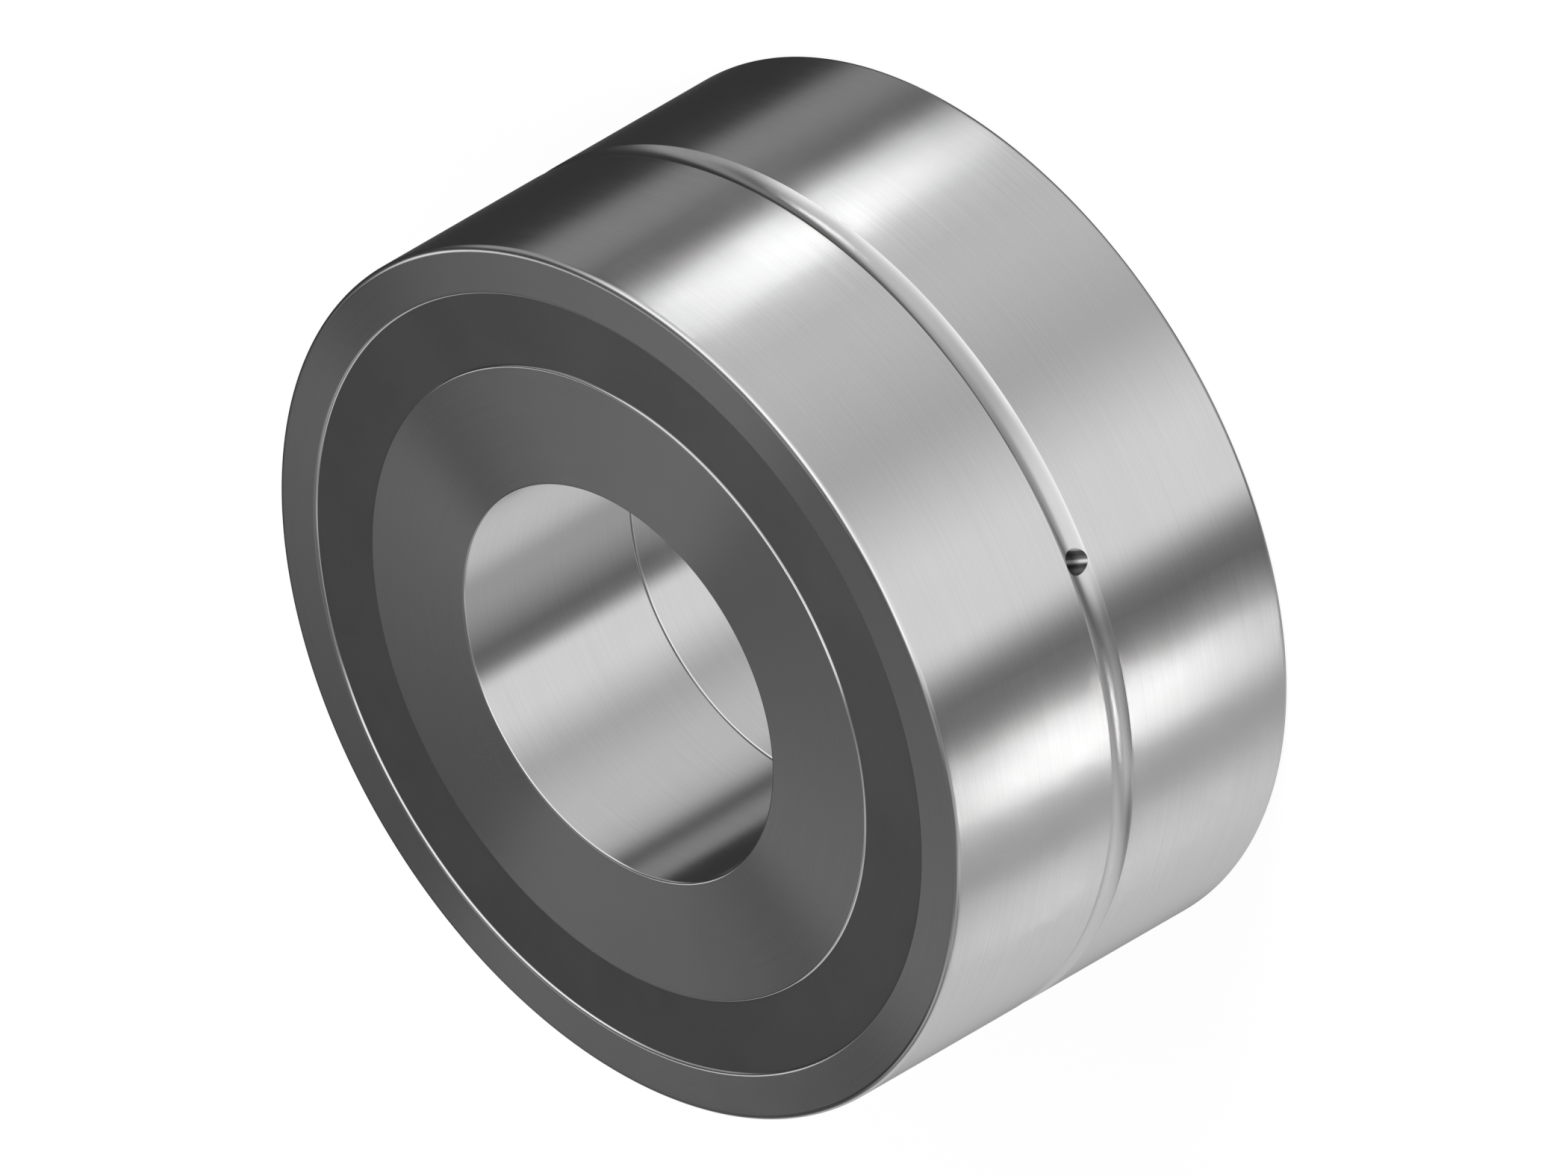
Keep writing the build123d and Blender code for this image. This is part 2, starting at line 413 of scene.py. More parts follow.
def hole_columns(sizes):
    """Azimuths of the grid's columns, with each column through a grease hole twice, the side that each of
    those two copies goes to (-1 before the hole, 1 after it and 0 on every other column), and the azimuths
    of the holes. The columns are equal parts of a turn, and each hole lies on one of them."""
    even = np.arange(RING_COLUMNS) * 2 * math.pi / RING_COLUMNS
    holes = (sizes.hole_azimuth + np.arange(HOLE_COUNT) * 2 * math.pi / HOLE_COUNT) % (2 * math.pi)
    through = np.round(holes * RING_COLUMNS / (2 * math.pi)).astype(int)
    azimuths = np.insert(even, through, even[through])
    sides = np.insert(np.zeros(RING_COLUMNS), through, -1.0)
    sides[np.flatnonzero(sides < 0) + 1] = 1.0
    return azimuths, sides, holes


def opened(azimuths, sides, holes, points, hole_radius):
    """Azimuths of the grid, rows by columns, opened round each hole: a column that lies d beside a hole
    moves to e + d (1 - e / p) where d is under p, the patch's half angle. e is the hole's own half angle in
    that row, the arcsine of sqrt(hole radius squared - height squared) / radius, and 0 in other rows."""
    half = np.sqrt(np.maximum(hole_radius**2 - points[:, 1] ** 2, 0))
    edge = np.arcsin(half / points[:, 0])[:, None]
    grid = np.tile(azimuths, (len(points), 1))
    for hole in holes:
        beside = (azimuths - hole + math.pi) % (2 * math.pi) - math.pi
        away = np.abs(beside)
        way = np.where(away < TINY_ANGLE, sides, np.sign(beside))
        moved = hole + way * (edge + away * (1 - edge / PATCH_ANGLE))
        grid = np.where(away < PATCH_ANGLE, moved, grid)
    return grid


def cells(values):
    """The four corners of each cell of a grid of rows by columns, in order round the cell."""
    around = (values[:-1, :-1], values[:-1, 1:], values[1:, 1:], values[1:, :-1])
    return np.stack(around, axis=2)


def turned_cells(strips, sizes=None):
    """Corners and normals of a section turned about the axis: x = r cos a, y = r sin a and z = height +
    mid-plane. With sizes, the grid is opened round the grease holes."""
    azimuths = np.arange(RING_COLUMNS) * 2 * math.pi / RING_COLUMNS
    sides, holes = np.zeros(RING_COLUMNS), ()
    if sizes:
        azimuths, sides, holes = hole_columns(sizes)
    corners, directions = [], []
    for points, normals in strips:
        grid = opened(azimuths, sides, holes, points, sizes.hole_radius if sizes else 0)
        grid = np.column_stack((grid, grid[:, :1]))
        cosine, sine = np.cos(grid), np.sin(grid)
        heights = np.broadcast_to(points[:, 1:], grid.shape)
        rises = np.broadcast_to(normals[:, 1:], grid.shape)
        place = np.stack((points[:, :1] * cosine, points[:, :1] * sine, heights + MIDDLE), axis=2)
        facing = np.stack((normals[:, :1] * cosine, normals[:, :1] * sine, rises), axis=2)
        solid = sides >= 0
        corners.append(cells(place)[:, solid].reshape(-1, 4, 3))
        directions.append(cells(facing)[:, solid].reshape(-1, 4, 3))
    return np.concatenate(corners), np.concatenate(directions)


def hole_wall_cells(sizes):
    """Corners and normals of the grease holes' walls. Across a hole they are its radius times the cosine
    and the sine of t, and along it they run straight from the groove's surface to the rib's. The others are
    the first hole turned about the axis."""
    groove, _ = groove_stretch(sizes)
    upper = groove[: HOLE_ROWS + 1]
    section = np.concatenate((upper[:0:-1] * (1, -1), upper))
    heights, outside = section[:, 1], section[:, 0]
    half = np.sqrt(np.maximum(sizes.hole_radius**2 - heights**2, 0))
    rib = row_radius(sizes) + sizes.shoulder_inset
    share = np.linspace(0, 1, WALL_STEPS + 1)
    inner = np.sqrt(rib**2 - half**2)[:, None]
    outer = np.sqrt(outside**2 - half**2)[:, None]
    along = outer + (inner - outer) * share
    corners, directions = [], []
    for side in (-1.0, 1.0):
        across = np.broadcast_to((side * half)[:, None], along.shape)
        level = np.broadcast_to(heights[:, None], along.shape)
        wall = np.stack((along, across, level), axis=2)
        inwards = np.stack((np.zeros_like(along), -across, -level), axis=2) / sizes.hole_radius
        corners.append(cells(wall).reshape(-1, 4, 3))
        directions.append(cells(inwards).reshape(-1, 4, 3))
    corners, directions = np.concatenate(corners), np.concatenate(directions)
    turns = sizes.hole_azimuth + np.arange(HOLE_COUNT) * 2 * math.pi / HOLE_COUNT
    cosine, sine = np.cos(turns), np.sin(turns)
    nothing, one = np.zeros(HOLE_COUNT), np.ones(HOLE_COUNT)
    turning = np.array([[cosine, sine, nothing], [-sine, cosine, nothing], [nothing, nothing, one]])
    corners = np.einsum("qci,ijh->hqcj", corners, turning).reshape(-1, 4, 3) + (0, 0, MIDDLE)
    directions = np.einsum("qci,ijh->hqcj", directions, turning).reshape(-1, 4, 3)
    return corners, directions


def piece_from_cells(name, corners, directions, material, last_cells=0, last_material=None):
    """A closed mesh from loose cells. Corners that lie on one point are joined, a cell with two such
    corners becomes a triangle, each face is turned to agree with its normals, and the normals are kept at
    every corner. The given number of last cells take the last material."""
    steps = np.round(corners.reshape(-1, 3) / JOINING).astype(np.int64)
    points, index = np.unique(steps, axis=0, return_inverse=True)
    faces = index.reshape(-1, 4)
    across, along = corners[:, 2] - corners[:, 0], corners[:, 3] - corners[:, 1]
    backwards = np.einsum("qi,qi->q", np.cross(across, along), directions.sum(axis=1)) < 0
    faces[backwards] = faces[backwards][:, ::-1]
    directions = directions.copy()
    directions[backwards] = directions[backwards][:, ::-1]
    kept = faces != np.roll(faces, 1, axis=1)
    whole = kept.sum(axis=1) > 2
    slots = (np.arange(len(faces)) >= len(faces) - last_cells)[whole]
    faces, kept, directions = faces[whole], kept[whole], directions[whole]
    totals = kept.sum(axis=1)
    mesh = bpy.data.meshes.new(name)
    mesh.vertices.add(len(points))
    mesh.vertices.foreach_set("co", (points * JOINING).astype(np.float32).ravel())
    mesh.loops.add(int(totals.sum()))
    mesh.loops.foreach_set("vertex_index", faces[kept].astype(np.int32))
    mesh.polygons.add(len(faces))
    mesh.polygons.foreach_set("loop_start", np.concatenate(([0], np.cumsum(totals)[:-1])).astype(np.int32))
    mesh.polygons.foreach_set("material_index", slots.astype(np.int32))
    mesh.update(calc_edges=True)
    mesh.shade_smooth()
    mesh.normals_split_custom_set(directions[kept])
    mesh.validate(clean_customdata=False)
    piece = bpy.data.objects.new(name, mesh)
    bpy.context.scene.collection.objects.link(piece)
    mesh.materials.append(material)
    if last_material:
        mesh.materials.append(last_material)
    return piece


def add(tree, kind, inputs=(), **settings):
    """A new node. The inputs give each socket by name or number a value or another node's output."""
    made = tree.nodes.new(kind)
    for setting, value in settings.items():
        setattr(made, setting, value)
    for socket, value in dict(inputs).items():
        if isinstance(value, bpy.types.NodeSocket):
            tree.links.new(value, made.inputs[socket])
        else:
            made.inputs[socket].default_value = value
    return made


def calculate(tree, operation, *values):
    """The output of a Math node."""
    return add(tree, "ShaderNodeMath", enumerate(values), operation=operation).outputs[0]


def ramp(tree, value, low, high, start=0.0, end=1.0, smooth=True):
    """A value carried from low..high to start..end, level beyond both ends."""
    kind = "SMOOTHSTEP" if smooth else "LINEAR"
    inputs = {"Value": value, "From Min": low, "From Max": high, "To Min": start, "To Max": end}
    return add(tree, "ShaderNodeMapRange", inputs, interpolation_type=kind).outputs["Result"]


def new_group(name, inputs, outputs):
    """An empty shader node group with the named sockets: its tree, its input node and its output node."""
    group = bpy.data.node_groups.new(name, "ShaderNodeTree")
    for label, kind, default in inputs:
        socket = group.interface.new_socket(name=label, in_out="INPUT", socket_type=kind)
        if default is not None:
            socket.default_value = default
    for label, kind in outputs:
        group.interface.new_socket(name=label, in_out="OUTPUT", socket_type=kind)
    return group, group.nodes.new("NodeGroupInput"), group.nodes.new("NodeGroupOutput")


def circular_lay():
    """Fine lines left by turning and grinding: noise in four dimensions at Drift cos a, Drift sin a, Lines
    r and Lines z, so that it changes quickly with the distance r from the axis and with the height z, and
    slowly with the azimuth a."""
    if "Circular lay" in bpy.data.node_groups:
        return bpy.data.node_groups["Circular lay"]
    sockets = [("Coordinates", "NodeSocketVector", None), ("Lines", "NodeSocketFloat", 9000.0)]
    sockets += [("Drift", "NodeSocketFloat", 1.5)]
    group, given, result = new_group("Circular lay", sockets, [("Lay", "NodeSocketFloat")])
    apart = add(group, "ShaderNodeSeparateXYZ", {0: given.outputs["Coordinates"]}).outputs
    square = calculate(group, "MULTIPLY", apart["X"], apart["X"])
    radius = calculate(group, "SQRT", calculate(group, "MULTIPLY_ADD", apart["Y"], apart["Y"], square))
    drift = calculate(group, "DIVIDE", given.outputs["Drift"], radius)
    across = calculate(group, "MULTIPLY", radius, given.outputs["Lines"])
    along = calculate(group, "MULTIPLY", apart["Z"], given.outputs["Lines"])
    turned = {
        "X": calculate(group, "MULTIPLY", apart["X"], drift),
        "Y": calculate(group, "MULTIPLY", apart["Y"], drift),
        "Z": across,
    }
    place = add(group, "ShaderNodeCombineXYZ", turned).outputs[0]
    inputs = {"Vector": place, "W": along, "Scale": 1.0, "Detail": 2.0, "Roughness": 0.6}
    noise = add(group, "ShaderNodeTexNoise", inputs, noise_dimensions="4D")
    group.links.new(noise.outputs["Fac"], result.inputs["Lay"])
    return group


def mottle():
    """Soft uneven patches, so many to the metre, as a value from Low to High: for moulded rubber and
    plastic, rolled sheet and the faint variation of polished steel."""
    if "Mottle" in bpy.data.node_groups:
        return bpy.data.node_groups["Mottle"]
    sockets = [("Coordinates", "NodeSocketVector", None), ("Patches", "NodeSocketFloat", 300.0)]
    sockets += [("Low", "NodeSocketFloat", 0.0), ("High", "NodeSocketFloat", 1.0)]
    group, given, result = new_group("Mottle", sockets, [("Value", "NodeSocketFloat")])
    inputs = {"Vector": given.outputs["Coordinates"], "Scale": given.outputs["Patches"]}
    noise = add(group, "ShaderNodeTexNoise", {**inputs, "Detail": 4.0, "Roughness": 0.55})
    value = ramp(group, noise.outputs["Fac"], *NOISE_RANGE, given.outputs["Low"], given.outputs["High"])
    group.links.new(value, result.inputs["Value"])
    return group


def new_material(name):
    """An empty material: its tree, its Principled shader and its Object coordinates."""
    if name in bpy.data.materials:
        bpy.data.materials.remove(bpy.data.materials[name])
    material = bpy.data.materials.new(name)
    material.use_nodes = True
    tree = material.node_tree
    tree.nodes.clear()
    shader = add(tree, "ShaderNodeBsdfPrincipled")
    add(tree, "ShaderNodeOutputMaterial", {"Surface": shader.outputs[0]})
    place = add(tree, "ShaderNodeTexCoord").outputs["Object"]
    return material, tree, shader, place


def placed(tree, group, output, **inputs):
    """The named output of a node group with its own values."""
    made = add(tree, "ShaderNodeGroup", node_tree=group)
    for label, value in inputs.items():
        socket = made.inputs[label]
        if isinstance(value, bpy.types.NodeSocket):
            tree.links.new(value, socket)
        else:
            socket.default_value = value
    return made.outputs[output]


def shades(tree, value, tint, dark, light):
    """A colour between dark and light times the tint, by a value from 0 to 1."""
    made = add(tree, "ShaderNodeMix", {"Factor": value}, data_type="RGBA")
    made.inputs[6].default_value = (*(channel * dark for channel in tint[:3]), 1)
    made.inputs[7].default_value = (*(min(channel * light, 1) for channel in tint[:3]), 1)
    return made.outputs[2]


def raised(tree, shader, height, distance):
    """A height that moves the surface's shading by up to the given distance."""
    bump = add(tree, "ShaderNodeBump", {"Height": height, "Distance": distance, "Strength": 1.0})
    tree.links.new(bump.outputs["Normal"], shader.inputs["Normal"])


def mottled(tree, place, patches, low=0.0, high=1.0):
    """Mottle with so many patches to the metre, as a value from low to high."""
    return placed(tree, mottle(), "Value", Coordinates=place, Patches=patches, Low=low, High=high)


def finish(tree, shader, tone, rough, metallic=0.0):
    """Gives a material its tone and its roughness. metallic is 1 for metal."""
    tree.links.new(tone, shader.inputs["Base Color"])
    tree.links.new(rough, shader.inputs["Roughness"])
    shader.inputs["Metallic"].default_value = metallic


def ground_steel(finishes):
    """Ground and honed ring steel: a fine circular lay in height and tone, and a broad one and a faint
    mottle in gloss. What it mirrors is drawn out across the lay."""
    material, tree, shader, place = new_material("Ground ring steel")
    fine = placed(tree, circular_lay(), "Lay", Coordinates=place, Lines=14000.0, Drift=2.0)
    broad = placed(tree, circular_lay(), "Lay", Coordinates=place, Lines=1600.0, Drift=1.0)
    patches = mottled(tree, place, 120.0, low=-0.008, high=0.008)
    gloss = ramp(tree, broad, *NOISE_RANGE, start=0.135, end=0.155, smooth=False)
    tone = shades(tree, ramp(tree, fine, *NOISE_RANGE), finishes.steel, dark=0.97, light=1.03)
    finish(tree, shader, tone, calculate(tree, "ADD", gloss, patches), metallic=1.0)
    shader.inputs["Anisotropic"].default_value = 1.0
    shader.inputs["Anisotropic Rotation"].default_value = 0.25
    lay = add(tree, "ShaderNodeTangent", direction_type="RADIAL", axis="Z")
    tree.links.new(lay.outputs[0], shader.inputs["Tangent"])
    raised(tree, shader, fine, distance=0.0000004)
    return material


def drilled_steel(finishes):
    """The grease holes' drilled walls: duller than the ground surfaces, with an even grain and no lay, and
    with painted shade that darkens them with the depth below the outside. A hole lies at the mid-plane, so
    its depth shows in the distance from the bearing's middle."""
    material, tree, shader, place = new_material("Drilled ring steel")
    rough = mottled(tree, place, 1500.0, low=0.20, high=0.25)
    middle = Vector((0, 0, MIDDLE))
    away = add(tree, "ShaderNodeVectorMath", {0: place, 1: middle}, operation="DISTANCE").outputs["Value"]
    # Painted shade: the walls' colour gets darker with the depth below the outside, as shade in a recess.
    unshaded = ramp(tree, away, ring_box[1].x - SHADED_DEPTH, ring_box[1].x - UNSHADED_DEPTH)
    unshaded = calculate(tree, "ADD", unshaded, mottled(tree, place, 5000.0, low=-0.05, high=0.05))
    finish(tree, shader, shades(tree, unshaded, finishes.steel, dark=0.22, light=1.04), rough, metallic=1.0)
    return material


def polished_steel(finishes):
    """Lapped ball steel, nearly a mirror, with faint patches in its gloss and tone."""
    material, tree, shader, place = new_material("Polished ball steel")
    rough = mottled(tree, place, 700.0, low=0.05, high=0.09)
    tone = shades(tree, mottled(tree, place, 250.0), finishes.balls, dark=0.97, light=1.03)
    finish(tree, shader, tone, rough, metallic=1.0)
    return material


def sheet_steel(finishes):
    """Cold rolled sheet steel, pressed: a dull grain with slow changes of tone and gloss."""
    material, tree, shader, place = new_material("Pressed sheet steel")
    grain = mottled(tree, place, 2500.0)
    rough = mottled(tree, place, 400.0, low=0.34, high=0.46)
    finish(tree, shader, shades(tree, grain, finishes.plate, dark=0.92, light=1.06), rough, metallic=1.0)
    raised(tree, shader, grain, distance=0.000006)
    return material


def seal_rubber(finishes):
    """Moulded nitrile rubber: satin black grey, with a fine grain and faint paler patches."""
    material, tree, shader, place = new_material("Moulded seal rubber")
    grain = mottled(tree, place, 4000.0)
    rough = mottled(tree, place, 800.0, low=0.46, high=0.56)
    tone = shades(tree, mottled(tree, place, 90.0), finishes.rubber, dark=0.94, light=1.06)
    finish(tree, shader, tone, rough)
    raised(tree, shader, grain, distance=0.000003)
    return material


def cage_polyamide(finishes):
    """Glass filled polyamide, natural colour: clouded, with short fibres near the skin."""
    material, tree, shader, place = new_material("Moulded cage polyamide")
    fibres = mottled(tree, place, 3200.0)
    rough = mottled(tree, place, 1500.0, low=0.38, high=0.52)
    tone = shades(tree, mottled(tree, place, 220.0), finishes.polyamide, dark=0.88, light=1.08)
    finish(tree, shader, tone, rough)
    raised(tree, shader, fibres, distance=0.00001)
    return material


def dress(names, material):
    """The material on every slot of the named CAD nodes. Glossy rays pass by them, as by the new pieces."""
    for name in names:
        bpy.data.objects[name].visible_glossy = False
        for slot in bpy.data.objects[name].material_slots:
            slot.material = material


def settle(piece, body, node):
    """The piece rides on its body and stands for its CAD node, which is hidden.
    Glossy rays pass by it, so that the bore shows the studio as the outside does."""
    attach(piece, body)
    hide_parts(node)
    piece.visible_glossy = False


def turned_pair(name, front, body, material):
    """A piece with the given section at the front, and its mirror image at the rear."""
    for side, strips in (("front", front), ("rear", mirrored(front))):
        node = f"{name}_{side}"
        clear_away(f"{node}_finished")
        settle(piece_from_cells(f"{node}_finished", *turned_cells(strips), material), body, node)


def clear_away(name):
    """Clears away an earlier copy of a piece, so that its operator can run again."""
    if name in bpy.data.objects:
        bpy.data.objects.remove(bpy.data.objects[name])


class BEARING_OT_outer_ring(bpy.types.Operator):
    """Turns the outer ring with its raceways, groove and grease holes"""

    bl_idname = "bearing.outer_ring"
    bl_label = "Outer ring"

    def execute(self, context):
        sizes, finishes = context.scene.bearing_sizes, context.scene.bearing_finishes
        upper = outer_ring_strips(sizes)
        turned = turned_cells(mirrored(upper) + upper, sizes)
        walls = hole_wall_cells(sizes)
        corners, directions = (np.concatenate(pair) for pair in zip(turned, walls))
        clear_away("outer_ring_finished")
        steel, drilled = ground_steel(finishes), drilled_steel(finishes)
        ring = piece_from_cells("outer_ring_finished", corners, directions, steel, len(walls[0]), drilled)
        settle(ring, "outer_body", "outer_ring")
        return {"FINISHED"}


class BEARING_OT_inner_rings(bpy.types.Operator):
    """Turns the front and rear halves of the inner ring"""

    bl_idname = "bearing.inner_rings"
    bl_label = "Inner rings"

    def execute(self, context):
        front = inner_ring_strips(context.scene.bearing_sizes)
        steel = bpy.data.materials["Ground ring steel"]
        turned_pair("inner_ring", front, "inner_body", steel)
        return {"FINISHED"}


class BEARING_OT_seals(bpy.types.Operator):
    """Moulds the two seals and finishes the stiffeners in them"""

    bl_idname = "bearing.seals"
    bl_label = "Seals"

    def execute(self, context):
        sizes, finishes = context.scene.bearing_sizes, context.scene.bearing_finishes
        turned_pair("seal", seal_strips(sizes), "outer_body", seal_rubber(finishes))
        dress(STIFFENER_NODES, sheet_steel(finishes))
        return {"FINISHED"}


class BEARING_OT_balls(bpy.types.Operator):
    """Finishes the balls of both rows"""

    bl_idname = "bearing.balls"
    bl_label = "Balls"

    def execute(self, context):
        dress(BALL_NODES, polished_steel(context.scene.bearing_finishes))
        return {"FINISHED"}


class BEARING_OT_cages(bpy.types.Operator):
    """Finishes the two moulded cages"""

    bl_idname = "bearing.cages"
    bl_label = "Cages"

    def execute(self, context):
        dress(CAGE_NODES, cage_polyamide(context.scene.bearing_finishes))
        return {"FINISHED"}


def between(tree, value, start, end, rise, fall):
    """1 between start and end and 0 beyond, with a smooth rise and fall of the given widths about them."""
    from_start = calculate(tree, "DIVIDE", calculate(tree, "SUBTRACT", value, start), rise)
    to_end = calculate(tree, "DIVIDE", calculate(tree, "SUBTRACT", end, value), fall)
    return calculate(tree, "MULTIPLY", ramp(tree, from_start, -0.5, 0.5), ramp(tree, to_end, -0.5, 0.5))


# The values of a studio panel, in the order of the rows of PANELS
PANEL_VALUES = ("Start", "End", "Rise", "Fall", "Low", "High", "Climb", "Drop", "Strength")


def studio_panel():
    """A soft panel on the studio's round wall, as light over the azimuth of a ray in degrees and its
    height. It is lit from Start to End and from Low to High, with soft sides of the widths Rise and Fall,
    Climb and Drop."""
    sockets = [(label, "NodeSocketFloat", 0.0) for label in ("Azimuth", "Height", *PANEL_VALUES)]
    group, given, result = new_group("Studio panel", sockets, [("Light", "NodeSocketFloat")])
    value = given.outputs
    middle = calculate(group, "MULTIPLY", calculate(group, "ADD", value["Start"], value["End"]), 0.5)
    half = calculate(group, "MULTIPLY", calculate(group, "SUBTRACT", value["End"], value["Start"]), 0.5)
    beside = calculate(group, "WRAP", calculate(group, "SUBTRACT", value["Azimuth"], middle), 180.0, -180.0)
    before = calculate(group, "MULTIPLY", half, -1.0)
    across = between(group, beside, before, half, value["Rise"], value["Fall"])
    upright = between(group, value["Height"], value["Low"], value["High"], value["Climb"], value["Drop"])
    both = calculate(group, "MULTIPLY", across, upright)
    group.links.new(calculate(group, "MULTIPLY", both, value["Strength"]), result.inputs["Light"])
    return group


# Panels round the bearing: start, end, rise and fall in degrees of azimuth, then low, high, climb and drop
# as heights on the studio's wall, and last the strength. Rows with a low of -3 are walls that reach below
# every ray, the row of strength 1.70 is the key light, and the last row lights the grease hole's wall.
WALL = (-3.0, 0.12, 1.0, 0.65)
FAR_WALL = (-3.0, 0.16, 1.0, 0.45)
PANELS = (
    ((142, 212, 52, 24), FAR_WALL, 0.54),
    ((174, 210, 30, 20), FAR_WALL, 0.10),
    ((-150, -103, 20, 50), (-3.0, 0.0, 1.0, 0.40), 0.38),
    ((-93, -87, 8, 10), FAR_WALL, 0.12),
    ((-83.5, 41, 15, 22), WALL, 0.50),
    ((-83.5, -43, 15, 34), (-0.70, 0.12, 0.10, 0.65), 0.40),
    ((-15, 26, 36, 24), WALL, 0.14),
    ((54, 77, 20, 12), (-3.0, 0.75, 1.0, 0.30), 0.25),
    ((-80, 45, 20, 30), (0.30, 0.79, 1.10, 0.30), 1.70),
    ((-128, -93, 16, 20), (-0.30, 0.30, 0.40, 0.30), 0.32),
    ((50, 60, 14, 10), (0.22, 0.90, 0.30, 0.30), 0.15),
    ((58, 84, 20, 16), (0.05, 0.65, 0.30, 0.30), 0.08),
    ((-100, -84, 20, 14), (0.45, 0.80, 0.25, 0.25), 0.35),
    ((-150, -122, 14, 16), (0.16, 0.50, 0.20, 0.25), 0.42),
    ((-192, -152, 16, 30), (0.42, 0.66, 0.20, 0.20), 0.50),
    ((98, 117, 14, 14), (0.86, 1.08, 0.14, 0.14), 1.10),
)


# The height of a ray of length 1 on the studio's wall is its z and this share of its way towards +y, so
# that the panels reach less high on that side
WALL_LEAN = 0.5

# The light beside the panels, which falls off between two heights of a ray, and the share of all panel
# light that is left for a ray straight down, which grows to the whole between two heights
BASE_HEIGHTS, BASE_LIGHTS = (0.25, 0.5), (0.04, 0.026)
BELOW_HEIGHTS, BELOW_SHARES = (-1.0, -0.55), (0.62, 1.0)

# The ceiling's blades: how many, how far they are turned as a share of a blade, the share of a blade along
# which its light climbs, the light at its edge, and the heights of a ray between which they fade in
FAN_BLADES, FAN_TURN, FAN_EDGE, FAN_LIGHT, FAN_HEIGHTS = 4, 0.145, 0.94, 0.115, (0.0, 0.4)

# How far a ray leaves the mirrored way, across and down, for each radian that a face's normal leans, and
# the plain light of the ceiling, with the heights of a ray between which it fades in
FAN_ACROSS, FAN_DOWN = 2 / math.sqrt(3), 2.0
CEILING_HEIGHTS, CEILING_LIGHTS = (0.6, 0.85), (0.0, 0.05)


def panel_light(tree, apart):
    """The light of the panels, and the faint light beside them, by the direction of a ray."""
    azimuth = calculate(tree, "DEGREES", calculate(tree, "ARCTAN2", apart["Y"], apart["X"]))
    forwards = calculate(tree, "MAXIMUM", apart["Y"], 0.0)
    height = calculate(tree, "MULTIPLY_ADD", forwards, WALL_LEAN, apart["Z"])
    group = studio_panel()
    light = ramp(tree, apart["Z"], *BASE_HEIGHTS, *BASE_LIGHTS)
    for sides, ends, strength in PANELS:
        inputs = {label: float(value) for label, value in zip(PANEL_VALUES, (*sides, *ends, strength))}
        panel = placed(tree, group, "Light", Azimuth=azimuth, Height=height, **inputs)
        light = calculate(tree, "ADD", panel, light)
    return calculate(tree, "MULTIPLY", light, ramp(tree, apart["Z"], *BELOW_HEIGHTS, *BELOW_SHARES))


def reach_along(tree, ray, direction):
    """How far a ray of length 1 goes along a direction."""
    return add(tree, "ShaderNodeVectorMath", {0: ray, 1: direction}, operation="DOT_PRODUCT").outputs["Value"]


def ceiling_light(tree, ray, apart):
    """A faint grey ceiling, like the blades of a fan about the mirrored way. The lay draws out what a spot
    of a face mirrors along a line through that way. The line turns with the spot's azimuth, so the blades
    show on the faces as sweeps of grey. A ray's turn in the fan is the arctangent of its way down over its
    way across, each divided by the way that a lean of the face's normal gives it."""
    across = calculate(tree, "DIVIDE", reach_along(tree, ray, BESIDE_WAY), FAN_ACROSS)
    down = calculate(tree, "DIVIDE", reach_along(tree, ray, BELOW_WAY), FAN_DOWN)
    turn = calculate(tree, "ARCTAN2", down, across)
    blades = calculate(tree, "MULTIPLY_ADD", turn, -FAN_BLADES / (2 * math.pi), FAN_TURN)
    blade = calculate(tree, "FRACT", blades)
    climb = ramp(tree, blade, 0.0, FAN_EDGE, 0.0, FAN_LIGHT, smooth=False)
    drop = ramp(tree, blade, FAN_EDGE, 1.0, 0.0, FAN_LIGHT, smooth=False)
    fan = calculate(tree, "SUBTRACT", climb, drop)
    fan = calculate(tree, "MULTIPLY", fan, ramp(tree, apart["Z"], *FAN_HEIGHTS))
    return calculate(tree, "ADD", fan, ramp(tree, apart["Z"], *CEILING_HEIGHTS, *CEILING_LIGHTS))


def chosen(tree, switch, off, on):
    """One of two values, by a switch that is 0 or 1."""
    return add(tree, "ShaderNodeMix", {0: switch, 2: off, 3: on}, data_type="FLOAT").outputs[0]


def studio_world():
    """A photographer's studio. The camera sees its white backdrop, and matt surfaces take plain even light
    from it. Metal sees tall soft panels with dark gaps between them round and below the bearing, a key
    light above the camera's side, and the faint ceiling."""
    world = bpy.data.worlds.new("Studio")
    world.use_nodes = True
    world.cycles.sampling_method = "NONE"
    tree = world.node_tree
    tree.nodes.clear()
    ray = add(tree, "ShaderNodeTexCoord").outputs["Generated"]
    apart = add(tree, "ShaderNodeSeparateXYZ", {0: ray}).outputs
    studio = calculate(tree, "ADD", panel_light(tree, apart), ceiling_light(tree, ray, apart))
    path = add(tree, "ShaderNodeLightPath").outputs
    white = calculate(tree, "MAXIMUM", path["Is Camera Ray"], path["Is Transmission Ray"])
    plain = chosen(tree, white, MATT_LIGHT, 1.0)
    strength = chosen(tree, path["Is Glossy Ray"], plain, studio)
    background = add(tree, "ShaderNodeBackground", {"Color": (1, 1, 1, 1), "Strength": strength})
    add(tree, "ShaderNodeOutputWorld", {"Surface": background.outputs[0]})
    return world


